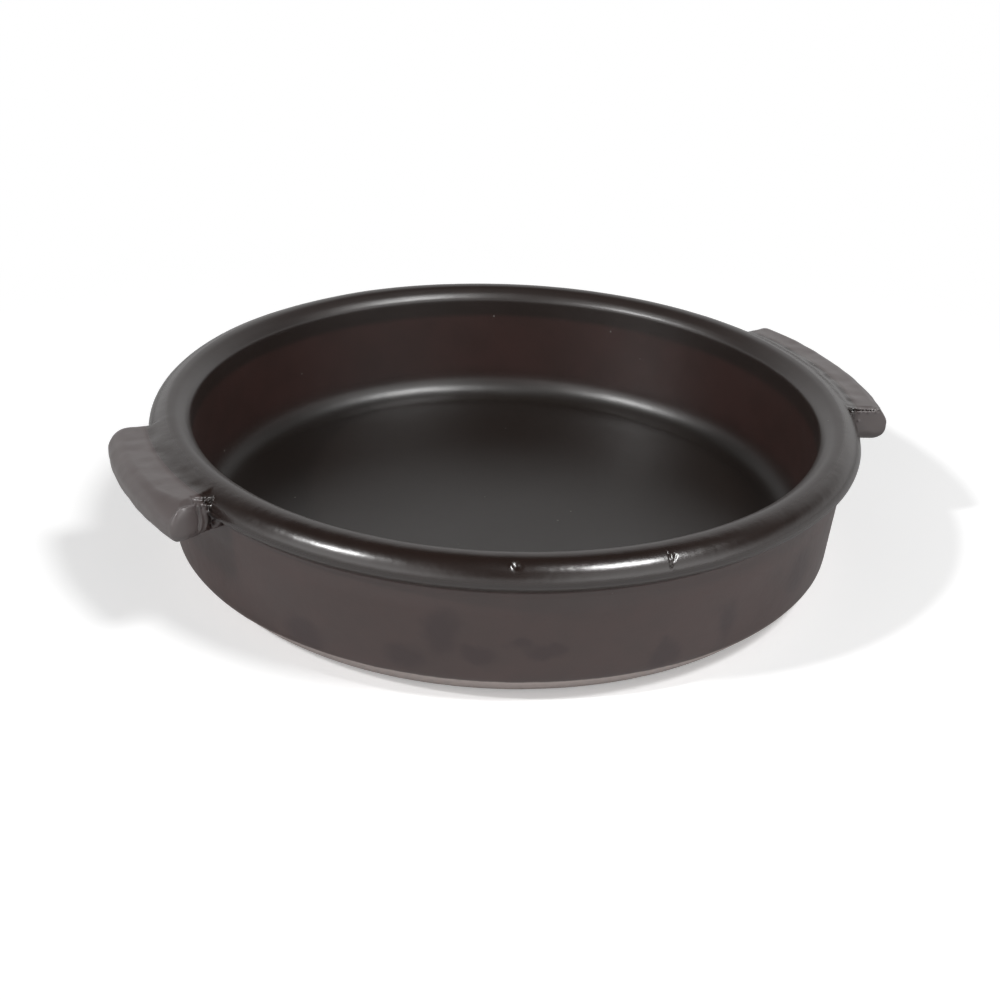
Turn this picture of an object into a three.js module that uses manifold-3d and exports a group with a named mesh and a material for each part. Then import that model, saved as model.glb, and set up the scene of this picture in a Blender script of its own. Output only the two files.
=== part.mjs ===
// Ceramic cooking pot: a shallow round casserole with a rolled rim and two lugs.
// It is divided the way a potter builds it up: a base, a wall, a rim coil and two
// lugs luted to the outside. Millimetres, +Z up. The origin is the middle of the
// underside, and the two lugs lie along X.

import * as THREE from 'three';
import { mergeVertices } from 'three/addons/utils/BufferGeometryUtils.js';
import Module from 'manifold-3d';

const wasm = await Module();
wasm.setup();

// Overall size
const crestHeight = 57.3;
const beadRadius = 135;

// Rim coil, measured in and down from the bead's widest circle and the crest
const crestInset = 8.6;
const crestRise = 7.5;
const rimDepth = 13.7;
const neckInset = 6.6;

// Inside of the rim: a crease a little in and down from the crest, then a slope at an
// angle in degrees to the horizontal, rounded off above the wall
const lipCrease = { inset: 2.7, drop: 0.7 };
const lipSlopeAngle = 48;
const lipRounding = 3;

// Curve of the flare under the bead, as shares of its width and its height
const flareStart = { out: 0.15, up: 0.3 };
const flareEnd = { out: 0.9, up: 0.6 };

// Wall
const bellyInset = 5.8;
const bellyHeight = 36;
const wallTaper = 2.3;
const wallThickness = 9.8;
const seamHeight = 18;

// Base
const floorThickness = 7.4;
const cornerRadius = 10;
const bevelHeight = 9.2;
const bevelWidth = 9.5;
const footRounding = 7;

// Lugs: the top lies a step below the crest, falls a little outwards and is dished,
// and the outer face leans out from a crease down to a round bulge
const lugStep = 1.5;
const lugFall = 0.5;
const lugThickness = 14.8;
const lugDish = 0.8;
const lugCrease = 2.2;
const lugCreaseShare = 0.25;
const lugLean = 3.4;
const lugLeanAngle = 10;
const lugRounding = 6;
const seatGap = 0.3;
const leftLug = { from: 169.4, to: 198.1, overhang: 15, fromCorner: 7.5, toCorner: 2.5 };
const rightLug = { from: -23.1, to: 14.8, overhang: 13.5, fromCorner: 2.5, toCorner: 3.5 };

// Facets
const turnSteps = 80;
const lugTurnSteps = 160;
const curveSteps = 6;

// Heights and radii that follow from the sizes above
const neckHeight = crestHeight - rimDepth;
const neckRadius = beadRadius - neckInset;
const beadHeight = crestHeight - crestRise;
const crestRadius = beadRadius - crestInset;
const bellyRadius = beadRadius - bellyInset;
const wallFootRadius = bellyRadius - wallTaper;
const footRadius = wallFootRadius - bevelWidth;
const innerWallRadius = bellyRadius - wallThickness;
const cornerHeight = floorThickness + cornerRadius;
const cornerCentre = innerWallRadius - cornerRadius;

// The lip's slope ends where its rounding begins, which then ends on the wall
const slopeTurn = THREE.MathUtils.degToRad(lipSlopeAngle);
const creaseRadius = crestRadius - lipCrease.inset;
const creaseHeight = crestHeight - lipCrease.drop;
const slopeEnd = innerWallRadius + lipRounding * (1 - Math.sin(slopeTurn));
const slopeFoot = creaseHeight - (creaseRadius - slopeEnd) * Math.tan(slopeTurn);

function point(radius, height) {
  return new THREE.Vector2(radius, height);
}

function between(a, b, share) {
  return a + (b - a) * share;
}

// Points of an ellipse quarter from angle start to angle end, in degrees
function ellipsePoints(centre, radiusX, radiusY, start, end, steps) {
  const from = THREE.MathUtils.degToRad(start);
  const to = THREE.MathUtils.degToRad(end);
  const curve = new THREE.EllipseCurve(centre.x, centre.y, radiusX, radiusY, from, to, to < from);
  return curve.getPoints(steps);
}

// Outside radius of the wall at a height above the bevel
function outerRadius(height) {
  if (height < bellyHeight) {
    const share = (height - bevelHeight) / (bellyHeight - bevelHeight);
    return between(wallFootRadius, bellyRadius, share);
  }
  const share = (height - bellyHeight) / (neckHeight - bellyHeight);
  return between(bellyRadius, neckRadius, share);
}

// Inside radius at a height above the floor
function innerRadius(height) {
  if (height < cornerHeight) {
    const drop = cornerHeight - height;
    return cornerCentre + Math.sqrt(Math.max(0, cornerRadius ** 2 - drop ** 2));
  }
  return innerWallRadius;
}

// Inside face from one height down to another, through the rounded corner
function innerFace(top, bottom) {
  const centre = point(cornerCentre, cornerHeight);
  const corner = ellipsePoints(centre, cornerRadius, cornerRadius, 0, -90, 2 * curveSteps);
  const inside = corner.filter((p) => p.y < top && p.y > bottom);
  return [point(innerRadius(top), top), ...inside, point(innerRadius(bottom), bottom)];
}

// Inside of the rim, from the crest over the crease and the slope down to the wall
function lipFace() {
  const edge = new THREE.QuadraticBezierCurve(
    point(crestRadius, crestHeight),
    point(between(crestRadius, creaseRadius, 0.6), crestHeight),
    point(creaseRadius, creaseHeight),
  );
  const drop = lipRounding * Math.cos(slopeTurn);
  const centre = point(innerWallRadius + lipRounding, slopeFoot - drop);
  const start = 90 + lipSlopeAngle;
  const rounding = ellipsePoints(centre, lipRounding, lipRounding, start, 180, curveSteps);
  return [...edge.getPoints(curveSteps), ...rounding];
}

function flarePoint(shares, grow) {
  const radius = between(neckRadius, beadRadius, shares.out) + grow;
  return point(radius, between(neckHeight, beadHeight, shares.up));
}

// Outside of the rim, from the neck round the bead to the crest
function beadFace(grow) {
  const flare = new THREE.CubicBezierCurve(
    point(neckRadius + grow, neckHeight),
    flarePoint(flareStart, grow),
    flarePoint(flareEnd, grow),
    point(beadRadius + grow, beadHeight),
  );
  const centre = point(crestRadius, beadHeight);
  const crown = ellipsePoints(centre, crestInset + grow, crestRise + grow, 0, 90, curveSteps);
  return [...flare.getPoints(curveSteps), ...crown.slice(1)];
}

// Solid turned about the pot's axis from a profile of radius and height
function turned(profile, steps) {
  const geometry = new THREE.LatheGeometry(profile, steps);
  geometry.rotateX(Math.PI / 2);
  return geometry;
}

function baseGeometry() {
  const corner = point(footRadius, 0);
  const slope = point(bevelWidth, bevelHeight).normalize();
  const turn = Math.atan2(slope.y, slope.x);
  const run = footRounding * Math.tan(turn / 2);
  const rounding = new THREE.QuadraticBezierCurve(
    point(footRadius - run, 0),
    corner,
    point(footRadius + run * slope.x, run * slope.y),
  );
  return turned([
    point(0, 0),
    ...rounding.getPoints(3),
    point(wallFootRadius, bevelHeight),
    point(outerRadius(seamHeight), seamHeight),
    ...innerFace(seamHeight, floorThickness),
    point(0, floorThickness),
  ], turnSteps);
}

function wallGeometry() {
  const start = point(outerRadius(seamHeight), seamHeight);
  return turned([
    start,
    point(bellyRadius, bellyHeight),
    point(neckRadius, neckHeight),
    ...innerFace(neckHeight, seamHeight),
    start,
  ], turnSteps);
}

function rimGeometry() {
  return turned([
    ...beadFace(0),
    ...lipFace().slice(1),
    point(innerWallRadius, neckHeight),
    point(neckRadius, neckHeight),
  ], turnSteps);
}

function toSolid(geometry) {
  const plain = geometry.clone();
  plain.deleteAttribute('normal');
  plain.deleteAttribute('uv');
  const merged = mergeVertices(plain, 1e-4);
  return new wasm.Manifold(new wasm.Mesh({
    numProp: 3,
    vertProperties: new Float32Array(merged.attributes.position.array),
    triVerts: new Uint32Array(merged.index.array),
  }));
}

function toGeometry(solid) {
  const mesh = solid.getMesh();
  const geometry = new THREE.BufferGeometry();
  geometry.setAttribute('position', new THREE.BufferAttribute(mesh.vertProperties, 3));
  geometry.setIndex(new THREE.BufferAttribute(mesh.triVerts, 1));
  geometry.computeVertexNormals();
  return geometry;
}

// The pot's outside, grown by the seat gap: what a lug is cut to sit against
function seatSolid() {
  const low = neckHeight - lugThickness;
  return toSolid(turned([
    point(0, low),
    point(outerRadius(low) + seatGap, low),
    point(bellyRadius + seatGap, bellyHeight),
    ...beadFace(seatGap),
    point(0, crestHeight + seatGap),
  ], turnSteps));
}

// Section of a lug, turned all the way round: a dished top, a leaning rounded
// outer face and a flat underside
function lugRing(overhang) {
  const reach = beadRadius + overhang;
  const top = crestHeight - lugStep;
  const bottom = top - lugThickness;
  const inside = innerWallRadius;
  const edge = reach - lugLean;
  const edgeHeight = top - lugFall;
  const dish = new THREE.QuadraticBezierCurve(
    point(edge - lugCrease, edgeHeight),
    point((crestRadius + edge) / 2, top - 2 * lugDish),
    point(crestRadius, top),
  );
  const crease = new THREE.QuadraticBezierCurve(
    point(between(edge, reach, lugCreaseShare), edgeHeight - lugCrease),
    point(edge, edgeHeight),
    point(edge - lugCrease, edgeHeight),
  );
  const centre = point(reach - lugRounding, bottom + lugRounding);
  const rounding = ellipsePoints(centre, lugRounding, lugRounding, -90, lugLeanAngle, curveSteps);
  return turned([
    point(inside, bottom),
    ...rounding,
    ...crease.getPoints(3),
    ...dish.getPoints(curveSteps).slice(1),
    point(inside, top),
    point(inside, bottom),
  ], lugTurnSteps);
}

// Outline of a lug from above: two straight ends and two rounded outer corners
function lugOutline(lug) {
  const reach = beadRadius + lug.overhang;
  const beyond = reach + lug.overhang;
  const from = THREE.MathUtils.degToRad(lug.from);
  const to = THREE.MathUtils.degToRad(lug.to);
  const fromTurn = Math.asin(lug.fromCorner / (reach - lug.fromCorner));
  const toTurn = Math.asin(lug.toCorner / (reach - lug.toCorner));
  const polar = (radius, angle) => point(radius * Math.cos(angle), radius * Math.sin(angle));
  const fromCentre = polar(reach - lug.fromCorner, from + fromTurn);
  const toCentre = polar(reach - lug.toCorner, to - toTurn);
  const quarter = Math.PI / 2;
  const outline = new THREE.Shape();
  outline.moveTo(...polar(innerWallRadius, from));
  outline.absarc(...fromCentre, lug.fromCorner, from - quarter, from + fromTurn, false);
  outline.absarc(0, 0, beyond, from + fromTurn, to - toTurn, false);
  outline.absarc(...toCentre, lug.toCorner, to - toTurn, to + quarter, false);
  outline.lineTo(...polar(innerWallRadius, to));
  return outline;
}

function lugGeometry(lug) {
  const options = { depth: crestHeight, bevelEnabled: false, curveSegments: curveSteps };
  const outline = toSolid(new THREE.ExtrudeGeometry(lugOutline(lug), options));
  const ring = toSolid(lugRing(lug.overhang));
  return toGeometry(ring.intersect(outline).subtract(seatSolid()));
}

// Colours of the fired clay and its dark glaze
const glaze = { color: '#54473f', roughness: 0.4, metalness: 0 };
const bareClay = { color: '#7a6d66', roughness: 0.7, metalness: 0 };

function piece(name, geometry, finish) {
  const mesh = new THREE.Mesh(geometry, new THREE.MeshStandardMaterial(finish));
  mesh.name = name;
  return mesh;
}

const pot = new THREE.Group();
pot.name = 'cooking_pot';
pot.add(
  piece('base_saucer', baseGeometry(), bareClay),
  piece('wall_band', wallGeometry(), glaze),
  piece('rim_coil', rimGeometry(), glaze),
  piece('handle_left', lugGeometry(leftLug), glaze),
  piece('handle_right', lugGeometry(rightLug), glaze),
);

export default pot;
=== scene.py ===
"""Ceramic cooking pot: the fired and glazed look of its packed CAD model.

Everything is in metres and in the CAD frame. One section, turned about Z, is shared
by the base, the wall and the rim, so they read as one fired body. Each lug is worked
out as a field of distances, luted to the rim with a soft join, and then meshed.
"""

import math

import bpy
import numpy as np
from mathutils import Matrix, Vector


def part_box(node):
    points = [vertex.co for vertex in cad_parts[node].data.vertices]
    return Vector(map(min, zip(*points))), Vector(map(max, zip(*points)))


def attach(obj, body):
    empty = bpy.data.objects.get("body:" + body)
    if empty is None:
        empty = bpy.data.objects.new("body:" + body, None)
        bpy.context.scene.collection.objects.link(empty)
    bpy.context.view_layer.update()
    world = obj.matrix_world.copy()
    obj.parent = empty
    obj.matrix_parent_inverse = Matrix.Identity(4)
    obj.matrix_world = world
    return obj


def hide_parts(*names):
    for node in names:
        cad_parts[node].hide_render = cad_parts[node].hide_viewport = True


bl_info = {
    "name": "Ceramic cooking pot",
    "version": (1, 0, 0),
    "blender": (4, 5, 0),
    "location": "3D View > Sidebar > Cooking pot",
    "description": "Builds a glazed ceramic cooking pot and its studio round a packed CAD frame",
    "category": "Object",
}

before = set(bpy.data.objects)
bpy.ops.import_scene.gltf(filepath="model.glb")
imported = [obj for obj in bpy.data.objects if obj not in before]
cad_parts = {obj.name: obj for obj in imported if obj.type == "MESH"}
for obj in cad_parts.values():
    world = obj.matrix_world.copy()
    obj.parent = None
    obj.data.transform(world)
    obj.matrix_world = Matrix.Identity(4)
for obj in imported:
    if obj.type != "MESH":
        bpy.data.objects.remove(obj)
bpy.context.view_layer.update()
MM = 0.001
PICTURE_WIDTH = 1000

WALL_LOW, WALL_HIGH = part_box("wall_band")
RIM_LOW, RIM_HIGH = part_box("rim_coil")
LEFT_LOW, LEFT_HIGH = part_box("handle_left")
RIGHT_LOW, RIGHT_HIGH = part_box("handle_right")


# Settings


def length(name, default, description):
    """Setting that is a length in metres"""
    return bpy.props.FloatProperty(
        name=name, default=default, description=description,
        unit="LENGTH", subtype="DISTANCE", min=0, precision=5)


def angle(name, degrees, description):
    """Setting that is an angle, kept in radians"""
    return bpy.props.FloatProperty(
        name=name, default=math.radians(degrees), description=description,
        unit="ROTATION", subtype="ANGLE")


def colour(name, default, description):
    """Setting that is a colour"""
    return bpy.props.FloatVectorProperty(
        name=name, default=default, description=description,
        size=3, subtype="COLOR", min=0, max=1)


def share(name, default, description):
    """Setting between 0 and 1"""
    return bpy.props.FloatProperty(
        name=name, default=default, description=description,
        subtype="FACTOR", min=0, max=1)


def position(name, default, description):
    """Setting that is a place in metres"""
    return bpy.props.FloatVectorProperty(
        name=name, default=default, description=description,
        size=3, unit="LENGTH", subtype="XYZ")


def power(name, default, description):
    """Setting that is a lamp's power in watts"""
    return bpy.props.FloatProperty(
        name=name, default=default, description=description, unit="POWER", min=0)


class PotSizes(bpy.types.PropertyGroup):
    """Sizes of the turned body"""

    bead_radius: length("Bead radius", RIM_HIGH.y, "Widest radius of the rim")
    crest_height: length("Crest height", RIM_HIGH.z, "Height of the rim's highest circle")
    crest_inset: length("Crest inset", 8.6 * MM, "How far the crest lies inside the bead")
    crest_rise: length("Crest rise", 7.5 * MM, "How far the crest lies above the bead")
    crease_inset: length("Crease inset", 2.7 * MM, "How far the lip's crease lies inside")
    crease_drop: length("Crease drop", 0.7 * MM, "How far the lip's crease lies below")
    lip_slope: angle("Lip slope", 48, "How steeply the lip falls inside its shoulder")
    shoulder_inset: length("Shoulder inset", 2.3 * MM, "Width of the lip's shoulder")
    shoulder_drop: length("Shoulder drop", 1.5 * MM, "How far the lip's shoulder falls")
    lip_rounding: length("Lip rounding", 1.6 * MM, "Radius from the lip into the wall")
    neck_radius: length("Neck radius", RIM_HIGH.y - 6.6 * MM, "Radius under the rim")
    neck_height: length("Neck height", RIM_LOW.z, "Height of the seam under the rim")
    belly_radius: length("Belly radius", WALL_HIGH.y, "Widest radius of the wall")
    belly_height: length("Belly height", 36 * MM, "Height at which the wall is widest")
    wall_taper: length("Wall taper", 2.3 * MM, "How much the wall narrows to its foot")
    wall_thickness: length("Wall thickness", 9.8 * MM, "Thickness of the wall at its widest")
    seam_height: length("Seam height", WALL_LOW.z, "Height of the seam of base and wall")
    floor_thickness: length("Floor thickness", 7.4 * MM, "Thickness of the floor")
    corner_radius: length("Corner radius", 10 * MM, "Round inside corner of floor and wall")
    bevel_height: length("Bevel height", 9.2 * MM, "Height of the bevel round the foot")
    bevel_width: length("Bevel width", 9.5 * MM, "Width of the bevel round the foot")
    foot_rounding: length("Foot rounding", 7 * MM, "Rounding of the foot's lower edge")
    softness: length("Softness", 0.6 * MM, "How much the glaze softens every edge")
    unevenness: length("Unevenness", 0.12 * MM, "How far the hand-made surface wanders")


class LeftLug(bpy.types.PropertyGroup):
    """Sizes of the shorter lug, nearer the camera"""

    near: angle("Cut end", 198.1, "Where its cut end is, round the pot")
    far: angle("Far end", 169.4, "Where its finished end is, round the pot")
    reach: length("Reach", -LEFT_LOW.x, "Radius of its outer face")
    bottom: length("Bottom", LEFT_LOW.z, "Height of its underside")
    near_corner: length("Cut corner", 2.6 * MM, "Rounding of the cut end from above")
    far_corner: length("Far corner", 6.3 * MM, "Rounding of the far end from above")
    edge: length("Edge", 2.4 * MM, "Rounding of its upper outer edge")
    worn_edge: length("Worn edge", 5.6 * MM, "The same rounding near the cut end")
    worn_length: length("Worn length", 19 * MM, "How far the worn edge runs")


class RightLug(bpy.types.PropertyGroup):
    """Sizes of the longer lug, on the far side"""

    near: angle("Cut end", -23.1, "Where its cut end is, round the pot")
    far: angle("Far end", 14.8, "Where its finished end is, round the pot")
    reach: length("Reach", RIGHT_HIGH.x + 0.2 * MM, "Radius of its outer face")
    bottom: length("Bottom", RIGHT_LOW.z, "Height of its underside")
    near_corner: length("Cut corner", 2.6 * MM, "Rounding of the cut end from above")
    far_corner: length("Far corner", 3.5 * MM, "Rounding of the far end from above")
    edge: length("Edge", 2.6 * MM, "Rounding of its upper outer edge")
    worn_edge: length("Worn edge", 3.8 * MM, "The same rounding near the cut end")
    worn_length: length("Worn length", 8 * MM, "How far the worn edge runs")


class PotFinish(bpy.types.PropertyGroup):
    """Colours and gloss of the fired surface"""

    glaze: colour("Glaze", (0.043, 0.0175, 0.0145), "Dark glaze where it is thin")
    pooled: colour("Pooled glaze", (0.0095, 0.006, 0.004), "Dark glaze where it is thick")
    smudge: colour("Smudge", (0.016, 0.0005, 0.001), "Dark marks low on the wall")
    # Paler colour over the whole lug; on the lug tops it is a painted sheen that stands in for
    # their grey reflection
    lug_tint_and_sheen: colour("Lug glaze", (0.105, 0.088, 0.086), "Paler lugs, with painted sheen on their tops")
    bare: colour("Bare clay", (0.42, 0.355, 0.335), "Clay of the bevel and underside")
    dust: colour("Specks", (0.22, 0.21, 0.19), "Pale grains caught in the glaze")
    inside_roughness: share("Inside roughness", 0.38, "Roughness of the inside")
    wall_roughness: share("Wall roughness", 0.38, "Roughness of the wall and lugs")
    crown_roughness: share("Crown roughness", 0.26, "Roughness of the rim's outer crown")
    bare_roughness: share("Clay roughness", 0.72, "Roughness of the bare clay")
    glaze_index: bpy.props.FloatProperty(
        name="Glaze index", default=1.9, min=1, description="Refractive index of the glaze")
    grain_depth: length("Grain", 0.012 * MM, "Depth of the fine grain in the glaze")
    bare_grain_depth: length("Clay grain", 0.05 * MM, "Depth of the grain in bare clay")
    outer_waves: length("Outer waves", 0.13 * MM, "Depth of the glaze's waves outside")
    inner_waves: length("Inner waves", 0.04 * MM, "Depth of the glaze's waves inside")
    speck_height: length("Speck height", 0.08 * MM, "How far the pale grains stand out")


class StudioSettings(bpy.types.PropertyGroup):
    """Camera, lamps and table of the photograph"""

    part_turn: angle("Part turn", -25.4, "From the photograph's frame to the part's")
    eye: position("Camera place", (0, -0.57396, 0.30274), "Place in the photograph's frame")
    aim: position("Camera aim", (-0.0009, 0, 0.012), "Point in the middle of the picture")
    roll: angle("Camera roll", 2.23, "How far the camera leans to its left")
    focal_pixels: bpy.props.FloatProperty(
        name="Focal length", default=1622.5, min=1,
        description="Focal length in pixels of a picture 1000 pixels wide")
    left_lamp: position("Left lamp", (-1.91, -1.17, 2.06), "Place in the photograph's frame")
    right_lamp: position("Right lamp", (0.76, -0.57, 1.46), "Place in the photograph's frame")
    left_power: power("Left power", 35, "Power of the left lamp")
    right_power: power("Right power", 13, "Power of the right lamp")
    left_width: length("Left width", 0.25, "Width of the left lamp")
    right_width: length("Right width", 0.42, "Width of the right lamp")
    horizon: share("Horizon light", 0.55, "Light from low on the studio walls")
    back_light: share("Back light", 0.55, "Light from high on the wall behind the pot")
    window_light: share("Window light", 0.8, "Light of each window beside the camera")
    ceiling: share("Ceiling light", 0.02, "Light from the studio ceiling")
    table: colour("Table", (0.6, 0.6, 0.6), "Colour of the table as the pot sees it")
    shown_table: colour("Shown table", (0.95, 0.95, 0.95), "Its colour as the camera sees it")
    table_glow: share("Table glow", 0.27, "White that the camera sees over the table's light")
    table_fade: length("Table fade", 0.4, "Radius at which the camera sees plain white")
    table_width: length("Table width", 8, "Width of the table")


# Curves and noise


def arc(centre, radii, start, end, count=40):
    """Points of an ellipse's arc between two angles in degrees"""
    turn = np.radians(np.linspace(start, end, count))
    return np.array(centre) + np.array(radii) * np.c_[np.cos(turn), np.sin(turn)]


def bezier(points, count=40):
    """Points of a Bezier curve with any number of control points"""
    t = np.linspace(0, 1, count)[:, None]
    rows = [np.tile(np.array(p, float), (count, 1)) for p in points]
    while len(rows) > 1:
        rows = [a + (b - a) * t for a, b in zip(rows, rows[1:])]
    return rows[0]


def run_length(path):
    """How far along the path each of its points lies"""
    steps = np.hypot(*np.diff(path, axis=0).T)
    return np.r_[0, np.cumsum(steps)]


def softened(path, softness, step=0.1 * MM):
    """The path with even steps and its corners rounded off"""
    along = run_length(path)
    places = np.linspace(0, along[-1], int(along[-1] / step))
    even = np.c_[np.interp(places, along, path[:, 0]), np.interp(places, along, path[:, 1])]
    reach = int(4 * softness / step)
    weight = np.exp(-0.5 * (np.arange(-reach, reach + 1) * step / softness) ** 2)
    weight /= weight.sum()
    before = 2 * even[0] - even[reach:0:-1]
    after = 2 * even[-1] - even[-2:-reach - 2:-1]
    padded = np.vstack([before, even, after])
    return np.c_[[np.convolve(column, weight, "valid") for column in padded.T]].T


def ease(value, low, high):
    """Smooth step from 0 at low to 1 at high"""
    t = np.clip((value - low) / (high - low), 0, 1)
    return t * t * (3 - 2 * t)


def bump(value, middle, width):
    """A smooth hump of height 1"""
    return np.exp(-((value - middle) / width) ** 2)


def ripple(points, wavelength, seed, waves=14):
    """Smooth seeded noise in space, mostly between -1 and 1"""
    rng = np.random.default_rng(seed)
    ways = rng.normal(size=(waves, 3))
    ways /= np.linalg.norm(ways, axis=1)[:, None]
    lengths = wavelength * rng.uniform(0.7, 1.5, waves)
    phases = rng.uniform(0, 2 * math.pi, waves)
    total = np.zeros(points.shape[:-1])
    for way, size, phase in zip(ways, lengths, phases):
        total += np.sin(points @ (way * 2 * math.pi / size) + phase)
    return total / math.sqrt(2 * waves)


def dent(points, start, end, width, depth):
    """A smooth dent along the line from start to end"""
    line = end - start
    along = np.clip((points - start) @ line / max(line @ line, 1e-12), 0, 1)
    gap = np.linalg.norm(points - start - along[..., None] * line, axis=-1)
    return depth * np.exp(-(gap / width) ** 2)


def polar(radius, turn, height):
    """Points at a radius, an angle round the pot in radians and a height"""
    radius, turn, height = np.broadcast_arrays(radius, turn, height)
    return np.stack([radius * np.cos(turn), radius * np.sin(turn), height], axis=-1)


# Turned body


def pot_section(pot):
    """Radius and height along the section: from the middle of the underside out to
    the foot, up the wall, over the rim and down inside to the middle of the floor"""
    wall_foot = pot.belly_radius - pot.wall_taper
    foot = wall_foot - pot.bevel_width
    crest = pot.bead_radius - pot.crest_inset
    bead_height = pot.crest_height - pot.crest_rise
    inner = pot.belly_radius - pot.wall_thickness
    crease = crest - pot.crease_inset
    crease_height = pot.crest_height - pot.crease_drop
    slope_end = inner + pot.lip_rounding * (1 - math.sin(pot.lip_slope))
    shoulder, shoulder_height = crease - pot.shoulder_inset, crease_height - pot.shoulder_drop
    slope_foot = shoulder_height - (shoulder - slope_end) * math.tan(pot.lip_slope)
    turn_height = slope_foot - pot.lip_rounding * math.cos(pot.lip_slope)
    slope_turn = 90 + math.degrees(pot.lip_slope)
    corner = inner - pot.corner_radius
    corner_height = pot.floor_thickness + pot.corner_radius
    slope = np.array([pot.bevel_width, pot.bevel_height])
    slope /= np.hypot(*slope)
    run = pot.foot_rounding * math.tan(math.atan2(slope[1], slope[0]) / 2)
    flare_out = pot.bead_radius - pot.neck_radius
    flare_up = bead_height - pot.neck_height
    path = np.vstack([
        [(0, 0)],
        bezier([(foot - run, 0), (foot, 0), (foot + run * slope[0], run * slope[1])]),
        [(wall_foot, pot.bevel_height), (pot.belly_radius, pot.belly_height)],
        bezier([
            (pot.neck_radius, pot.neck_height),
            (pot.neck_radius + 0.15 * flare_out, pot.neck_height + 0.3 * flare_up),
            (pot.bead_radius - 0.1 * flare_out, bead_height - 0.4 * flare_up),
            (pot.bead_radius, bead_height),
        ]),
        arc((crest, bead_height), (pot.crest_inset, pot.crest_rise), 0, 90)[1:],
        bezier([
            (crest, pot.crest_height),
            (crest - 0.6 * pot.crease_inset, pot.crest_height),
            (crease, crease_height),
        ])[1:],
        [(shoulder, shoulder_height)],
        arc((inner + pot.lip_rounding, turn_height), (pot.lip_rounding,) * 2, slope_turn, 180),
        arc((corner, corner_height), (pot.corner_radius,) * 2, 0, -90),
        [(0, pot.floor_thickness)],
    ])
    return softened(path, pot.softness)


# Ends of the marks in the rim: angle in degrees, then radius and height in millimetres
CHIP_TURN, SCAR_TURN = -113.1, -91.3
CHIP = (CHIP_TURN, 131.7, 55.8)
CHIP_EDGE = (CHIP_TURN - 0.75, 131.7, 55.8)
SCAR_TOP = (SCAR_TURN, 130.9, 56.3)
SCAR_LOW = (SCAR_TURN - 0.1719, 134.3, 52.8)
SCAR_BRANCH = (SCAR_TURN + 1, 132.2, 55.5)

# Dents between two such ends, in millimetres: shift along X, width and depth, which is
# below 0 where the clay is pushed up
DENTS = (
    (CHIP, CHIP, 0, 1.3, 0.55),
    (CHIP_EDGE, CHIP_EDGE, 0, 0.7, -0.22),
    (SCAR_TOP, SCAR_LOW, 0, 0.35, 0.3),
    (SCAR_TOP, SCAR_LOW, 0.9, 0.45, -0.12),
    (SCAR_LOW, SCAR_BRANCH, 0, 0.35, 0.2),
)


def mark_depth(points):
    """How deep the chip and the scar in the rim cut at each point"""
    total = np.zeros(points.shape[:-1])
    for start, end, shift, width, depth in DENTS:
        ends = [polar(radius * MM, math.radians(turn), height * MM) + (shift * MM, 0, 0)
                for turn, radius, height in (start, end)]
        total += dent(points, *ends, width * MM, depth * MM)
    return total


def wander(points, pot):
    """How far the hand-made surface lies outside the turned one"""
    slow = 0.8 * ripple(points, 70 * MM, seed=3)
    quick = 0.22 * ripple(points, 13 * MM, seed=4)
    return pot.unevenness * (slow + quick)


# Spacing of the mesh's rows: where the section is flat, on the wall, and on the rim
FLAT_STEP, WALL_STEP, RIM_STEP = 6 * MM, 1.3 * MM, 0.55 * MM

# Spacing of its columns in degrees, that near the marks in the rim, and how far that runs
COLUMN_STEP, MARK_STEP, MARK_REACH = 1, 0.1, 1.5


def row_places(path, along, pot):
    """Where along the section the rows of the mesh lie"""
    radius, height = path.T
    underside = height < 0.4 * MM
    floor = (radius < 100 * MM) & (height < pot.floor_thickness + 0.3 * MM)
    step = np.where(height > pot.neck_height, RIM_STEP, WALL_STEP)
    step = np.where(underside | floor, FLAT_STEP, step)
    count = np.r_[0, np.cumsum(np.diff(along) / step[1:])]
    return np.interp(np.linspace(0, count[-1], round(count[-1]) + 1), count, along)


def column_turns():
    """Angles of the mesh's columns, closer together at the marks in the rim"""
    even = np.radians(np.arange(0, 360, COLUMN_STEP))
    marks = [math.radians(turn) % (2 * math.pi) for turn in (CHIP_TURN, SCAR_TURN)]
    fine = np.radians(np.arange(-MARK_REACH, MARK_REACH, MARK_STEP))
    clearance = math.radians(MARK_REACH + MARK_STEP / 2)
    clear = [turn for turn in even if all(abs(turn - mark) > clearance for mark in marks)]
    return np.sort(np.concatenate([clear, *(mark + fine for mark in marks)]))


class TurnedBody:
    """Grid of points and normals of the whole pot, and the rows that each piece takes"""

    def __init__(self, pot):
        path = pot_section(pot)
        along = run_length(path)
        crest = int(np.argmax(path[:, 1]))
        places = row_places(path, along, pot)
        self.seams = {}
        for name, height in (("seam", pot.seam_height), ("neck", pot.neck_height)):
            outer = np.interp(height, path[:crest, 1], along[:crest])
            inner = np.interp(height, path[:crest:-1, 1], along[:crest:-1])
            for side, place in (("outer", outer), ("inner", inner)):
                row = int(np.argmin(abs(places - place)))
                places[row] = place
                self.seams[name, side] = row
        radius = np.interp(places, along, path[:, 0])
        height = np.interp(places, along, path[:, 1])
        turns = column_turns()
        grid = polar(radius[:, None], turns[None, :], height[:, None])
        flat_normals = grid_normals(grid, places, turns)
        lift = wander(grid, pot) - mark_depth(grid)
        off_axis, off_table = ease(radius, 2 * MM, 40 * MM), height > 0.1 * MM
        lift *= (off_axis * off_table)[:, None]
        self.points = grid + flat_normals * lift[..., None]
        self.normals = grid_normals(self.points, places, turns)
        self.last = len(places) - 1


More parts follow.
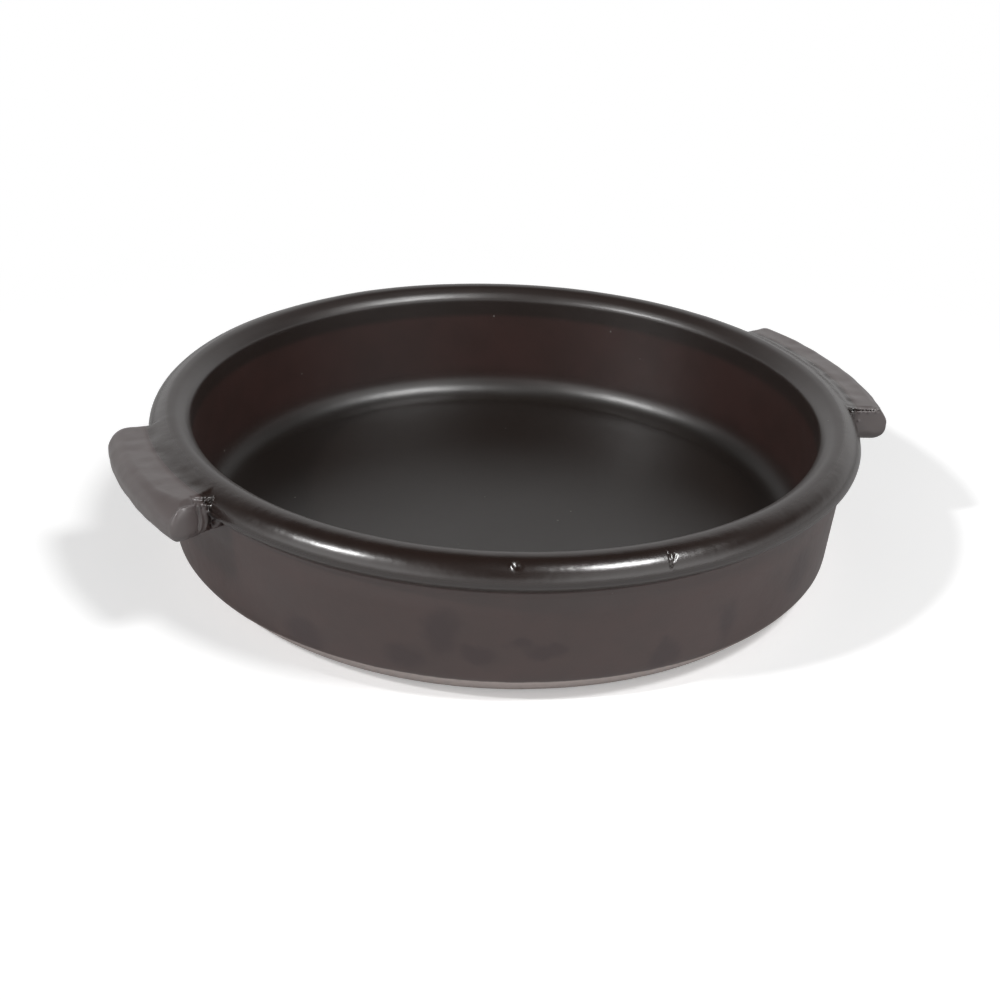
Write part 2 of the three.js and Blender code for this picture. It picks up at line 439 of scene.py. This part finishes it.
def grid_normals(grid, places, turns):
    """Outward normals of a grid of section rows and columns that close in a circle"""
    circle = 2 * math.pi
    wide = np.concatenate([grid[:, -2:], grid, grid[:, :2]], axis=1)
    wide_turns = np.concatenate([turns[-2:] - circle, turns, turns[:2] + circle])
    around = np.gradient(wide, wide_turns, axis=1)[:, 2:-2]
    along = np.gradient(grid, places, axis=0)
    normals = np.cross(around, along)
    size = np.linalg.norm(normals, axis=-1, keepdims=True)
    pole = size[..., 0] < 1e-9
    normals = normals / np.maximum(size, 1e-12)
    normals[0][pole[0]] = (0, 0, -1)
    normals[-1][pole[-1]] = (0, 0, 1)
    return normals


def ring_faces(rows, columns, closed):
    """Quads between rows of a ring, and between the last and the first if closed"""
    pairs = [(row, row + 1) for row in range(rows - 1)] + [(rows - 1, 0)] * closed
    column = np.arange(columns)
    after = (column + 1) % columns
    quads = [np.c_[a * columns + column, a * columns + after,
                   b * columns + after, b * columns + column] for a, b in pairs]
    return np.vstack(quads)


# Distance fields


def meet(a, b, rounding):
    """Inside both shapes, with the edge between them rounded"""
    inside = np.minimum(np.maximum(a, b), -rounding)
    return inside + np.hypot(np.maximum(a + rounding, 0), np.maximum(b + rounding, 0))


def join(a, b, softness):
    """Inside either shape, with the crease between them filled softly"""
    near = np.maximum(softness - abs(a - b), 0) / softness
    return np.minimum(a, b) - near * near * softness / 4


def section_distance(path, radius, height):
    """Signed distance from a grid of radii and heights to the section's outside"""
    start, line = path[:-1], np.diff(path, axis=0)
    spot = np.stack(np.meshgrid(radius, height, indexing="ij"), axis=-1)
    offset = spot[..., None, :] - start
    along = np.clip((offset * line).sum(-1) / (line * line).sum(-1), 0, 1)
    gap = offset - along[..., None] * line
    far = np.linalg.norm(gap, axis=-1)
    nearest = far.argmin(-1)[..., None]
    gap = np.take_along_axis(gap, nearest[..., None], -2)[..., 0, :]
    way = line[nearest[..., 0]]
    side = np.sign(gap[..., 0] * way[..., 1] - gap[..., 1] * way[..., 0])
    return side * np.take_along_axis(far, nearest, -1)[..., 0]


def surface_net(field):
    """Points, in grid steps, and quads of the surface where a field is zero"""
    places, rings, flips = [], [], []
    for axis in range(3):
        low = np.take(field, range(field.shape[axis] - 1), axis)
        high = np.take(field, range(1, field.shape[axis]), axis)
        cut = (low < 0) != (high < 0)
        edge = np.argwhere(cut)
        place = edge.astype(float)
        place[:, axis] += low[cut] / (low[cut] - high[cut])
        first, second = np.eye(3, dtype=int)[[(axis + 1) % 3, (axis + 2) % 3]]
        ring = np.stack([edge, edge - first, edge - first - second, edge - second], axis=1)
        places.append(np.repeat(place[:, None], 4, axis=1))
        rings.append(ring)
        flips.append(low[cut] > 0)
    rings = np.vstack(rings)
    flip = np.concatenate(flips)
    cells = np.ravel_multi_index(rings.reshape(-1, 3).T, field.shape)
    names, which = np.unique(cells, return_inverse=True)
    total = np.zeros((len(names), 3))
    np.add.at(total, which, np.vstack(places).reshape(-1, 3))
    points = total / np.bincount(which)[:, None]
    quads = which.reshape(-1, 4)
    quads[flip] = quads[flip][:, ::-1]
    return points, quads


def sampled(field, points):
    """Values of a field between its grid points"""
    low = np.clip(np.floor(points).astype(int), 0, np.array(field.shape[:3]) - 2)
    part = points - low
    total = 0
    for corner in np.ndindex(2, 2, 2):
        weight = np.prod(np.where(corner, part, 1 - part), axis=1)
        value = field[tuple((low + corner).T)]
        total = total + (weight * value.T).T
    return total


# Lugs


class LugBlock:
    """Grid round one lug. Its directions are the radius r, the way t in from the cut end,
    measured round the pot at the middle radius, and the height z"""

    step = 0.42 * MM
    middle = 142 * MM
    start = 124 * MM

    def __init__(self, lug, pot):
        self.near, self.way = lug.near, math.copysign(1, lug.far - lug.near)
        self.length = abs(lug.far - lug.near) * self.middle
        self.radius = np.arange(self.start, lug.reach + 4 * MM, self.step)
        self.inward = np.arange(-5 * MM, self.length + 4 * MM, self.step)
        self.height = np.arange(lug.bottom - 4 * MM, pot.crest_height + 3 * MM, self.step)
        self.r = self.radius[:, None, None]
        self.t = self.inward[None, :, None]
        self.z = self.height[None, None, :]
        self.space = self.points(self.r, self.t, self.z)

    def points(self, radius, inward, height):
        """Points in space of places in the block"""
        return polar(radius, self.near + self.way * inward / self.middle, height)

    def full(self, spots):
        """Points in space of places given in grid steps"""
        radius, inward, height = (spots * self.step).T
        return self.points(
            radius + self.radius[0], inward + self.inward[0], height + self.height[0])

    def ball(self, radius, inward, height, size):
        """Distance to a ball of clay"""
        return np.linalg.norm(self.space - self.points(radius, inward, height), axis=-1) - size


def left_tear(block):
    """Relief of the left lug's cut end: a fat lobe outside, a torn strip inside.
    It is worked out in millimetres"""
    r, z = block.r / MM, block.z / MM
    dome = np.clip(1 - ((r - 144.2) / 5.3) ** 2 - ((z - 48.1) / 6.4) ** 2, 0, 1)
    lobe = 1.3 * dome ** 0.5
    split = -1.1 * bump(r, 139.1 + 0.25 * np.sin(z), 0.6) * ease(z, 43, 46)
    strip = ease(r, 138.8, 137.8)
    lines = 0.22 * strip * np.sin(2 * math.pi * (r + 0.4 * np.sin(0.7 * z)) / 2.6)
    notch = -1.3 * bump(z, 53.4 + 0.22 * (r - 134.5), 0.55) * ease(r, 139.5, 138)
    pit = -3.5 * bump(r, 132.3, 1.5) * bump(z, 44.0, 1.7)
    return (lobe + split + lines + notch + pit - 0.3 * strip) * MM


def right_tear(block):
    """Relief of the right lug's cut end: flat, under a thin skin that hangs over.
    It is worked out in millimetres"""
    r, z = block.r / MM, block.z / MM
    skin = 0.55 * ease(z, 54.4, 54.9)
    notch = -0.9 * bump(z, 54.1 + 0.02 * (r - 134), 0.4) * ease(r, 145.5, 144)
    return (skin + notch) * MM


# Crumbs of clay on the cut ends, in millimetres: radius, inward, height, size
LEFT_CRUMBS = (
    (137.6, 0.0, 53.7, 0.8), (136.1, 0.2, 53.0, 0.6), (134.2, -0.1, 52.2, 0.9),
    (131.9, 0.0, 51.0, 0.9), (133.9, 0.6, 54.9, 0.8), (135.6, 0.1, 50.6, 0.5),
    (142.4, 0.3, 46.0, 0.7), (143.8, -0.4, 44.7, 0.5),
)
RIGHT_CRUMBS = (
    (137.2, 0.1, 53.5, 0.6), (138.9, 0.2, 53.7, 0.5), (140.5, 0.1, 53.6, 0.6),
    (142.0, 0.2, 53.8, 0.4), (143.6, 0.2, 53.8, 0.6), (137.3, 0.1, 49.8, 0.6),
)


def lug_body(block, lug, pot, tear):
    """Distance to the lug's own clay, before it is luted on"""
    r, t, z = block.r, block.t, block.z
    seat, luted, bottom_rounding = 129.3 * MM, 131 * MM, 5 * MM
    top_drop, fall, dish, lean, tuck = 1.5 * MM, 0.5 * MM, 0.64 * MM, 3.4 * MM, 0.8 * MM
    across = np.clip((r - luted) / (lug.reach - luted), 0, 1)
    skin = pot.crest_height - top_drop - fall * across - 4 * dish * across * (1 - across)
    leaning = lean * ease(z, 49 * MM, 57 * MM) + tuck * ease(z, 47 * MM, 42 * MM)
    outer = r - (lug.reach - leaning)
    near = -t - tear(block)
    plan = meet(outer, t - block.length, lug.far_corner)
    plan = meet(plan, near, lug.near_corner * ease(t, 0, 3 * MM) + 0.7 * MM)
    worn = ease(t, lug.worn_length, 2 * MM) * ease(t, 0.3 * MM, 1.6 * MM)
    edge = lug.edge + (lug.worn_edge - lug.edge) * worn
    edge = edge - (lug.edge - 0.6 * MM) * ease(t, 3 * MM, 0.5 * MM) * (near > outer)
    body = meet(plan, z - skin, edge)
    body = meet(body, lug.bottom - z, bottom_rounding)
    return np.maximum(body, seat - r)


def lug_field(block, lug, pot, tear, crumbs, seam):
    """Distance to the lug luted to the rim, and to the pot's own outside"""
    path = pot_section(pot)[::4]
    outside = path[(path[:, 0] > 118 * MM) & (path[:, 1] > 30 * MM)]
    true_rim = section_distance(outside, block.radius, block.height)[:, None, :]
    rim = true_rim - wander(block.space, pot)
    body = lug_body(block, lug, pot, tear)
    for radius, inward, height, size in crumbs:
        grain = block.ball(radius * MM, inward * MM, height * MM, size * MM)
        body = join(body, grain, 0.35 * MM)
    slow = 0.2 * ripple(block.space, 17 * MM, seed=11)
    quick = 0.07 * ripple(block.space, 6 * MM, seed=12)
    body = body + (slow + quick) * MM
    softness = (1.3 + 0.6 * ease(block.z, 51 * MM, 54 * MM)) * MM
    softness = softness * (0.3 + 0.7 * ease(block.t, 0.5 * MM, 5 * MM))
    joined = join(body, rim + 0.02 * MM, softness)
    if seam:
        joined = joined + seam(block)
    luted = np.maximum(joined, -(rim + 2 * MM))
    return np.maximum(luted, body - softness - 0.3 * MM), rim


def right_seam(block):
    """Wavy line where the right lug's skin was smeared over the rim, worked out in
    millimetres"""
    r, t, z = block.r / MM, block.t / MM, block.z / MM
    line = 133.6 + 0.6 * np.sin(t / 5.3) + 0.5 * np.sin(t / 3.1 + 1)
    groove = 0.32 * np.where(r > line, bump(r, line, 1.8), bump(r, line, 3.2))
    return groove * ease(z, 51, 53) * ease(t, 4, 9) * MM


def lug_mesh(block, field, rim):
    """Points, quads and normals of a lug from its field"""
    spots, quads = surface_net(field)
    slopes = np.stack(np.gradient(field, block.step), axis=-1)
    for _ in range(2):
        # Each step moves the points onto the surface
        slope = sampled(slopes, spots)
        size = (slope ** 2).sum(1, keepdims=True)
        miss = sampled(field, spots)[:, None]
        spots = spots - np.clip(miss * slope / np.maximum(size, 0.2) / block.step, -0.5, 0.5)
    points = block.full(spots)
    lug_normals = in_space(block, spots, sampled(slopes, spots))
    rim_slopes = np.stack(np.gradient(rim, block.step), axis=-1)
    rim_normals = in_space(block, spots, sampled(rim_slopes, spots))
    clear = ease(sampled(rim, spots), 0.0, 0.25 * MM)[:, None]
    normals = rim_normals + (lug_normals - rim_normals) * clear
    under = sampled(rim, spots)[:, None] < -0.3 * MM
    normals = np.where(under, lug_normals, normals)
    normals /= np.linalg.norm(normals, axis=1, keepdims=True)
    if block.way < 0:
        quads = quads[:, ::-1]
    return points, quads, normals


def in_space(block, spots, slope):
    """Unit vectors in space of slopes along the block's three directions"""
    radius = spots[:, 0] * block.step + block.radius[0]
    turn = block.near + block.way * (spots[:, 1] * block.step + block.inward[0]) / block.middle
    out, up = slope[:, 0], slope[:, 2]
    along = slope[:, 1] * block.way * block.middle / radius
    vectors = np.c_[
        out * np.cos(turn) - along * np.sin(turn),
        out * np.sin(turn) + along * np.cos(turn),
        up,
    ]
    return vectors / np.maximum(np.linalg.norm(vectors, axis=1, keepdims=True), 1e-9)


# Objects


def new_object(name, points, faces, normals=None):
    """Mesh object with smooth shading and, if given, its own normals"""
    mesh = bpy.data.meshes.new(name)
    mesh.from_pydata(points.tolist(), [], [list(face) for face in faces])
    mesh.validate()
    if normals is not None:
        mesh.shade_smooth()
        mesh.normals_split_custom_set_from_vertices(normals.tolist())
    piece = bpy.data.objects.new(name, mesh)
    bpy.context.scene.collection.objects.link(piece)
    return piece


def finish_piece(piece, node):
    """Finish of a piece that stands for one CAD node"""
    piece.data.materials.append(glaze_material())
    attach(piece, "root")
    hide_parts(node)


def turned_piece(name, body, rows, closed):
    """Piece of the turned body from some of its rows"""
    points = body.points[rows].reshape(-1, 3)
    normals = body.normals[rows].reshape(-1, 3)
    faces = ring_faces(len(rows), body.points.shape[1], closed)
    return new_object(name, points, faces, normals)


# Materials


def add(tree, kind, sockets=None, **settings):
    """Adds a shader node, sets it up and links or sets its sockets"""
    node = tree.nodes.new("ShaderNode" + kind)
    for name, value in settings.items():
        setattr(node, name, value)
    for name, value in (sockets or {}).items():
        if isinstance(value, bpy.types.NodeSocket):
            tree.links.new(value, node.inputs[name])
        else:
            node.inputs[name].default_value = value
    return node


def maths(tree, operation, first, second=0.0, third=0.0):
    """Result of an operation on numbers"""
    sockets = {0: first, 1: second, 2: third}
    return add(tree, "Math", sockets, operation=operation).outputs[0]


def times(tree, first, *others):
    """Product of numbers"""
    for other in others:
        first = maths(tree, "MULTIPLY", first, other)
    return first


def vectors(tree, operation, first, second=(0, 0, 0)):
    """Result of an operation on vectors"""
    node = add(tree, "VectorMath", {0: first, 1: second}, operation=operation)
    scalar = operation in ("LENGTH", "DISTANCE", "DOT_PRODUCT")
    return node.outputs["Value" if scalar else "Vector"]


def fade(tree, value, low, high):
    """Smooth step from 0 at low to 1 at high"""
    sockets = {"Value": value, "From Min": low, "From Max": high}
    return add(tree, "MapRange", sockets, interpolation_type="SMOOTHSTEP").outputs["Result"]


def mixed(tree, amount, first, second):
    """Colour between two colours"""
    node = add(tree, "Mix", {0: amount}, data_type="RGBA")
    for place, value in ((6, first), (7, second)):
        if isinstance(value, bpy.types.NodeSocket):
            tree.links.new(value, node.inputs[place])
        else:
            node.inputs[place].default_value = (*value, 1)
    return node.outputs[2]


def between(tree, amount, first, second):
    """Number between two numbers"""
    return add(tree, "Mix", {0: amount, 2: first, 3: second}, data_type="FLOAT").outputs[0]


def noise(tree, place, size, detail):
    """Noise between 0 and 1 whose features have a size in metres"""
    sockets = {"Vector": place, "Scale": 1 / size, "Detail": detail}
    return add(tree, "TexNoise", sockets)


def cleared_tree(owner):
    """Node tree of a material or a world, emptied"""
    owner.use_nodes = True
    owner.node_tree.nodes.clear()
    return owner.node_tree


# Dark marks low on the wall: angle in degrees, height, width and tallness in millimetres
SMUDGES = (
    (-112.0, 24.8, 5.0, 3.0), (-108.6, 21.6, 7.0, 3.4), (-106.6, 23.0, 3.6, 2.8),
    (-89.0, 14.6, 7.0, 5.4), (-90.0, 19.0, 3.0, 4.0), (-78.2, 21.0, 5.0, 9.0),
    (-123.6, 27.0, 6.0, 11.0), (-118.0, 20.5, 7.0, 4.0), (-129.0, 16.0, 9.0, 5.0),
    (-146.0, 15.0, 9.0, 6.0), (-60.0, 26.0, 8.0, 9.0), (-30.0, 20.0, 9.0, 6.0),
    (40.0, 22.0, 10.0, 8.0), (95.0, 18.0, 8.0, 5.0), (140.0, 25.0, 9.0, 9.0),
)


def smudge_mask(tree, place, pot):
    """Where the dark marks lie on the wall"""
    warp, warp_size = 9 * MM, 9 * MM
    swirl = noise(tree, place, warp_size, detail=3.0).outputs["Color"]
    centred = vectors(tree, "SUBTRACT", swirl, (0.5,) * 3)
    shift = vectors(tree, "MULTIPLY", centred, (warp,) * 3)
    warped = vectors(tree, "ADD", place, shift)
    total = None
    for turn, height, width, tall in SMUDGES:
        centre = polar(pot.belly_radius, math.radians(turn), height * MM)
        offset = vectors(tree, "SUBTRACT", warped, tuple(centre))
        shrink = [1 / (size * MM) for size in (width, width, tall)]
        scaled = vectors(tree, "MULTIPLY", offset, shrink)
        smudge = fade(tree, vectors(tree, "LENGTH", scaled), 1.3, 0.45)
        total = smudge if total is None else maths(tree, "MAXIMUM", total, smudge)
    return total


def speck_mask(tree, place):
    """Where pale grains lie: a small dot in a few of the cells of a pattern"""
    cell_size, share_without, dot_edge, dot_core = 9 * MM, 0.72, 0.055, 0.03
    cells = add(tree, "TexVoronoi", {"Vector": place, "Scale": 1 / cell_size})
    chance = add(tree, "SeparateColor", {0: cells.outputs["Color"]}).outputs[0]
    chosen = maths(tree, "GREATER_THAN", chance, share_without)
    return times(tree, fade(tree, cells.outputs["Distance"], dot_edge, dot_core), chosen)


def area_masks(tree, place, pot):
    """Masks of the areas of the pot whose surface differs"""
    height = add(tree, "SeparateXYZ", {0: place}).outputs["Z"]
    radius = vectors(tree, "LENGTH", vectors(tree, "MULTIPLY", place, (1, 1, 0)))
    bead, neck, floor = pot.bead_radius, pot.neck_height, pot.floor_thickness

    def rises(low, high, value=height):
        return fade(tree, value, low, high)

    def widens(low, high):
        return fade(tree, radius, low, high)

    ragged = noise(tree, place, 5 * MM, detail=4.0).outputs["Fac"]
    edge = maths(tree, "MULTIPLY_ADD", ragged, -0.8 * MM, height)
    below_edge = rises(pot.bevel_height + 0.1 * MM, pot.bevel_height - 0.7 * MM, edge)
    outside = maths(tree, "MAXIMUM", widens(115.8 * MM, 117 * MM), rises(0.8 * floor, 0.6 * floor))
    return {
        "floor": times(tree, rises(22 * MM, 9 * MM), widens(121 * MM, 119 * MM)),
        "inside": widens(bead - 7 * MM, bead - 9 * MM),
        "wall": widens(123 * MM, 125 * MM),
        "rim": times(tree, rises(neck, neck + 3 * MM), widens(bead + 2 * MM, bead)),
        "crown": times(tree, rises(49 * MM, 51 * MM), widens(bead - 8 * MM, bead - 6 * MM),
                       widens(bead + 1.5 * MM, bead + 0.5 * MM)),
        "lug": widens(bead, bead + 3 * MM),
        "bare": times(tree, below_edge, outside),
    }


def surface_tint(tree, place, areas, clouds, specks):
    """Colour of the glaze with its marks, and of the bare clay"""
    look, pot = bpy.context.scene.pot_finish, bpy.context.scene.pot_sizes
    mottle = noise(tree, place, 11 * MM, detail=3.0).outputs["Fac"]
    depth = maths(tree, "MULTIPLY_ADD", mottle, 0.5, times(tree, clouds, 0.5))
    tint = mixed(tree, times(tree, fade(tree, depth, 0.64, 0.36), 0.25), look.glaze, look.pooled)
    pooled = maths(tree, "MAXIMUM", areas["floor"], times(tree, areas["rim"], 0.8))
    smudges = times(tree, smudge_mask(tree, place, pot), areas["wall"], 0.8)
    crumbly = noise(tree, place, 2.5 * MM, detail=5.0).outputs["Fac"]
    dark_clay, pale_clay = [[factor * v for v in look.bare] for factor in (0.8, 1.15)]
    for amount, other in (
        (pooled, look.pooled),
        # Painted sheen: the paler lug colour also stands in for the grey reflection on the lug
        # tops
        (times(tree, areas["lug"], 0.85), look.lug_tint_and_sheen),
        (smudges, look.smudge),
        (times(tree, specks, 0.6), look.dust),
        (areas["bare"], mixed(tree, crumbly, dark_clay, pale_clay)),
    ):
        tint = mixed(tree, amount, tint, other)
    return tint


def surface_roughness(tree, areas, clouds):
    """Roughness of the glaze, a little uneven, and of the bare clay"""
    look, unevenness = bpy.context.scene.pot_finish, 0.08
    rough = between(tree, areas["crown"], look.wall_roughness, look.crown_roughness)
    rough = between(tree, areas["inside"], rough, look.inside_roughness)
    patches = times(tree, maths(tree, "SUBTRACT", clouds, 0.5), unevenness)
    rough = maths(tree, "ADD", rough, patches)
    return between(tree, areas["bare"], rough, look.bare_roughness)


def surface_normal(tree, place, areas, specks):
    """Normal bent by the glaze's waves, the fine grain and the specks"""
    look = bpy.context.scene.pot_finish
    grain = noise(tree, place, 0.9 * MM, detail=3.0).outputs["Fac"]
    waves = noise(tree, place, 5.5 * MM, detail=2.0).outputs["Fac"]
    wave_depth = between(tree, areas["inside"], look.outer_waves, look.inner_waves)
    grain_depth = between(tree, areas["bare"], look.grain_depth, look.bare_grain_depth)
    relief = maths(tree, "ADD", times(tree, waves, wave_depth), times(tree, grain, grain_depth))
    relief = maths(tree, "ADD", relief, times(tree, specks, look.speck_height))
    bump_node = add(tree, "Bump", {"Height": relief, "Distance": 1.0, "Strength": 1.0})
    return bump_node.outputs[0]


def glaze_material():
    """Dark satin glaze over clay, bare on the bevel and the underside"""
    name = "dark satin glaze"
    if name in bpy.data.materials:
        return bpy.data.materials[name]
    material = bpy.data.materials.new(name)
    tree = cleared_tree(material)
    place = add(tree, "TexCoord").outputs["Object"]
    clouds = noise(tree, place, 45 * MM, detail=4.0).outputs["Fac"]
    specks = speck_mask(tree, place)
    areas = area_masks(tree, place, bpy.context.scene.pot_sizes)
    shader = add(tree, "BsdfPrincipled", {
        "Base Color": surface_tint(tree, place, areas, clouds, specks),
        "Roughness": surface_roughness(tree, areas, clouds),
        "Normal": surface_normal(tree, place, areas, specks),
        "IOR": bpy.context.scene.pot_finish.glaze_index,
    })
    add(tree, "OutputMaterial", {"Surface": shader.outputs[0]})
    return material


def table_material(studio):
    """Matt pale table. The camera sees it whiter than the pot does, so that it meets
    the white background, and it keeps the pot's soft shadow"""
    material = bpy.data.materials.new("white table")
    tree = cleared_tree(material)
    seen = add(tree, "LightPath").outputs["Is Camera Ray"]
    lit = add(tree, "BsdfDiffuse", {"Color": mixed(tree, seen, studio.table, studio.shown_table)})
    glow = add(tree, "Emission", {"Strength": times(tree, seen, studio.table_glow)})
    lit_and_glow = add(tree, "AddShader", {0: lit.outputs[0], 1: glow.outputs[0]})
    white = add(tree, "Emission", {"Strength": 1.0})
    away = vectors(tree, "LENGTH", add(tree, "TexCoord").outputs["Object"])
    clear = times(tree, seen, fade(tree, away, 0.45 * studio.table_fade, studio.table_fade))
    shown = add(tree, "MixShader", {0: clear, 1: lit_and_glow.outputs[0], 2: white.outputs[0]})
    add(tree, "OutputMaterial", {"Surface": shown.outputs[0]})
    return material


def studio_world(studio):
    """Studio walls under a dark ceiling, with a pale wall behind the pot and a window
    on each side of the camera, which itself sees plain white"""
    world = bpy.data.worlds.new("studio")
    tree = cleared_tree(world)
    way = add(tree, "TexCoord").outputs["Generated"]
    rise = add(tree, "SeparateXYZ", {0: way}).outputs["Z"]
    level = vectors(tree, "NORMALIZE", vectors(tree, "MULTIPLY", way, (1, 1, 0)))

    def climbs(start, end):
        """Smooth step over angles above the horizon, in degrees"""
        return fade(tree, rise, math.sin(math.radians(start)), math.sin(math.radians(end)))

    def faces(turn, outer, inner):
        """Smooth step towards an angle round the pot, in degrees"""
        centre = polar(1, math.radians(turn) + studio.part_turn, 0)
        near = vectors(tree, "DOT_PRODUCT", level, tuple(centre))
        return fade(tree, near, math.cos(math.radians(outer)), math.cos(math.radians(inner)))

    below_ceiling = climbs(54, 34)
    light = maths(tree, "MULTIPLY_ADD", climbs(32, 6), studio.horizon, studio.ceiling)
    for area, brightness in (
        (times(tree, faces(90, 75, 20), climbs(-4, 24), below_ceiling), studio.back_light),
        (times(tree, faces(-45, 38, 12), below_ceiling), studio.window_light),
        (times(tree, faces(-135, 38, 12), below_ceiling), studio.window_light),
    ):
        light = maths(tree, "MULTIPLY_ADD", area, brightness, light)
    seen = add(tree, "LightPath").outputs["Is Camera Ray"]
    shown = between(tree, seen, light, 1.0)
    glow = add(tree, "Background", {"Color": (1, 1, 1, 1), "Strength": shown})
    add(tree, "OutputWorld", {"Surface": glow.outputs[0]})
    return world


# Operators


class POT_OT_base(bpy.types.Operator):
    """Add the base: the floor, the round inside corner and the bevelled foot"""

    bl_idname = "cooking_pot.add_base"
    bl_label = "Add base"

    def execute(self, context):
        body = TurnedBody(context.scene.pot_sizes)
        outer, inner = body.seams["seam", "outer"], body.seams["seam", "inner"]
        rows = [*range(1, outer + 1), *range(inner, body.last)]
        columns = body.points.shape[1]
        points = np.vstack([body.points[rows].reshape(-1, 3),
                            body.points[0, :1], body.points[-1, :1]])
        normals = np.vstack([body.normals[rows].reshape(-1, 3), [(0, 0, -1)], [(0, 0, 1)]])
        faces = ring_faces(len(rows), columns, closed=False).tolist()
        under, over = len(points) - 2, len(points) - 1
        last = (len(rows) - 1) * columns
        for column in range(columns):
            after = (column + 1) % columns
            faces.append([under, after, column])
            faces.append([over, last + column, last + after])
        finish_piece(new_object("pot_base", points, faces, normals), "base_saucer")
        return {"FINISHED"}


class POT_OT_wall(bpy.types.Operator):
    """Add the upright wall between the base and the rim"""

    bl_idname = "cooking_pot.add_wall"
    bl_label = "Add wall"

    def execute(self, context):
        body = TurnedBody(context.scene.pot_sizes)
        outer = range(body.seams["seam", "outer"], body.seams["neck", "outer"] + 1)
        inner = range(body.seams["neck", "inner"], body.seams["seam", "inner"] + 1)
        finish_piece(turned_piece("pot_wall", body, [*outer, *inner], closed=True), "wall_band")
        return {"FINISHED"}


class POT_OT_rim(bpy.types.Operator):
    """Add the rolled rim, with the chip and the scar in its crown"""

    bl_idname = "cooking_pot.add_rim"
    bl_label = "Add rim"

    def execute(self, context):
        body = TurnedBody(context.scene.pot_sizes)
        rows = [*range(body.seams["neck", "outer"], body.seams["neck", "inner"] + 1)]
        finish_piece(turned_piece("pot_rim", body, rows, closed=True), "rim_coil")
        return {"FINISHED"}


class POT_OT_lugs(bpy.types.Operator):
    """Add the two lugs, each with one cut and torn end"""

    bl_idname = "cooking_pot.add_lugs"
    bl_label = "Add lugs"

    def execute(self, context):
        scene = context.scene
        lugs = (
            ("lug_left", "handle_left", scene.left_lug, left_tear, LEFT_CRUMBS, None),
            ("lug_right", "handle_right", scene.right_lug, right_tear, RIGHT_CRUMBS, right_seam),
        )
        for name, node, lug, tear, crumbs, seam in lugs:
            block = LugBlock(lug, scene.pot_sizes)
            field, rim = lug_field(block, lug, scene.pot_sizes, tear, crumbs, seam)
            finish_piece(new_object(name, *lug_mesh(block, field, rim)), node)
        return {"FINISHED"}


class POT_OT_studio(bpy.types.Operator):
    """Add the table, the studio light, two lamps and the photograph's camera"""

    bl_idname = "cooking_pot.add_studio"
    bl_label = "Add studio"

    def execute(self, context):
        studio = context.scene.pot_studio
        turn = Matrix.Rotation(studio.part_turn, 4, "Z")
        half = studio.table_width / 2
        corners = [(-half, -half, 0), (half, -half, 0), (half, half, 0), (-half, half, 0)]
        table = new_object("table_top", np.array(corners), [(0, 1, 2, 3)])
        table.data.materials.append(table_material(studio))
        context.scene.world = studio_world(studio)
        add_lamp("left_lamp", turn, studio.left_lamp, studio.left_width, studio.left_power)
        add_lamp("right_lamp", turn, studio.right_lamp, studio.right_width, studio.right_power)
        add_camera(context.scene, studio, turn)
        context.scene.view_settings.view_transform = "Standard"
        return {"FINISHED"}


def add_lamp(name, turn, place, width, power):
    """Round soft lamp that shines at the pot"""
    lamp = bpy.data.lights.new(name, "AREA")
    lamp.shape, lamp.size, lamp.energy = "DISK", width, power
    holder = bpy.data.objects.new(name, lamp)
    centre = turn @ Vector(place)
    aimed = (-centre).to_track_quat("-Z", "Y").to_matrix().to_4x4()
    holder.matrix_world = Matrix.Translation(centre) @ aimed
    bpy.context.scene.collection.objects.link(holder)


def add_camera(scene, studio, turn):
    """Camera of the photograph, with its lean"""
    eye = Vector(studio.eye)
    forward = (Vector(studio.aim) - eye).normalized()
    side = forward.cross(Vector((0, 0, 1))).normalized()
    up = side.cross(forward)
    lean, stand = math.sin(studio.roll), math.cos(studio.roll)
    axes = Matrix((side * stand + up * lean, up * stand - side * lean, -forward)).transposed()
    camera = bpy.data.cameras.new("camera")
    camera.sensor_width = 36
    camera.lens = camera.sensor_width * studio.focal_pixels / PICTURE_WIDTH
    camera.clip_start = 0.01
    holder = bpy.data.objects.new("camera", camera)
    holder.matrix_world = turn @ Matrix.Translation(eye) @ axes.to_4x4()
    scene.collection.objects.link(holder)
    scene.camera = holder


class POT_PT_panel(bpy.types.Panel):
    """Buttons that build the cooking pot"""

    bl_label = "Cooking pot"
    bl_space_type = "VIEW_3D"
    bl_region_type = "UI"
    bl_category = "Cooking pot"

    def draw(self, context):
        for operator in OPERATORS:
            self.layout.operator(operator.bl_idname)
        for name, group in SETTINGS.items():
            box = self.layout.box()
            box.label(text=group.__doc__)
            for prop in group.__annotations__:
                box.prop(getattr(context.scene, name), prop)


SETTINGS = {
    "pot_sizes": PotSizes,
    "left_lug": LeftLug,
    "right_lug": RightLug,
    "pot_finish": PotFinish,
    "pot_studio": StudioSettings,
}
OPERATORS = (POT_OT_base, POT_OT_wall, POT_OT_rim, POT_OT_lugs, POT_OT_studio)


def register():
    """Registers every class and hangs the settings on the scene"""
    for cls in (*SETTINGS.values(), *OPERATORS, POT_PT_panel):
        bpy.utils.register_class(cls)
    for name, group in SETTINGS.items():
        setattr(bpy.types.Scene, name, bpy.props.PointerProperty(type=group))


def unregister():
    """Undoes register"""
    for name in SETTINGS:
        delattr(bpy.types.Scene, name)
    for cls in reversed((*SETTINGS.values(), *OPERATORS, POT_PT_panel)):
        bpy.utils.unregister_class(cls)


def main():
    """Builds the pot and its studio"""
    register()
    bpy.ops.cooking_pot.add_base()
    bpy.ops.cooking_pot.add_wall()
    bpy.ops.cooking_pot.add_rim()
    bpy.ops.cooking_pot.add_lugs()
    bpy.ops.cooking_pot.add_studio()


if __name__ == "__main__":
    main()
